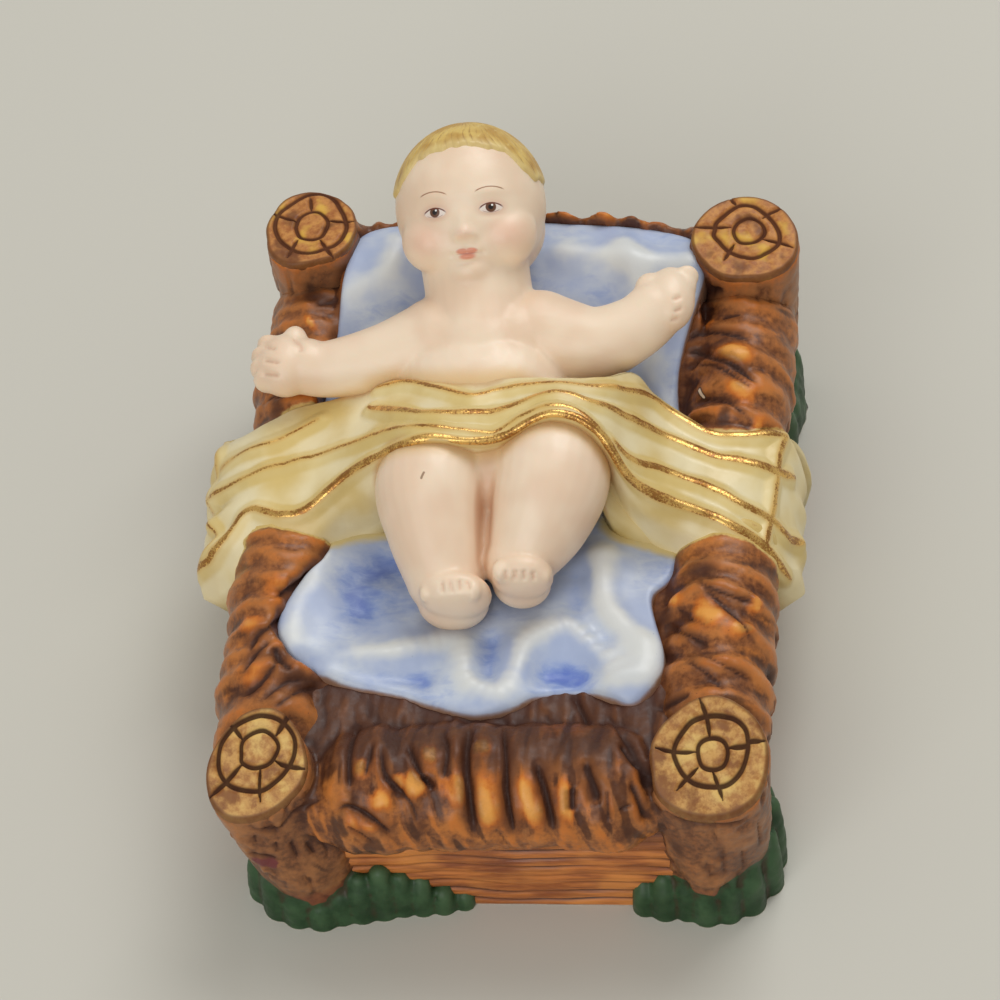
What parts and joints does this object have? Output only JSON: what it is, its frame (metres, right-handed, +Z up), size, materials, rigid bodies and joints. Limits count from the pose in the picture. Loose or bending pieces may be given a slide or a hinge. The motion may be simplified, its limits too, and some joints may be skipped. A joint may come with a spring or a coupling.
{
  "type": "baby in manger figurine",
  "caption": "Painted porcelain figurine of a baby lying on a blue sheet in a straw-filled log manger, with a yellow cover over the lap.",
  "frame": {"origin": "centre of the bounding box's underside, on the surface that the figurine stands on", "axes": "+Y from the child's feet to the head, +X across to the child's left-hand side rim, +Z up"},
  "size_m": [0.0842, 0.1048, 0.0585],
  "materials": {
    "bisque": "painted bisque porcelain with a low satin gloss"
  },
  "bodies": {
    "root": {"figurine": "bisque"}
  },
  "joints": []
}
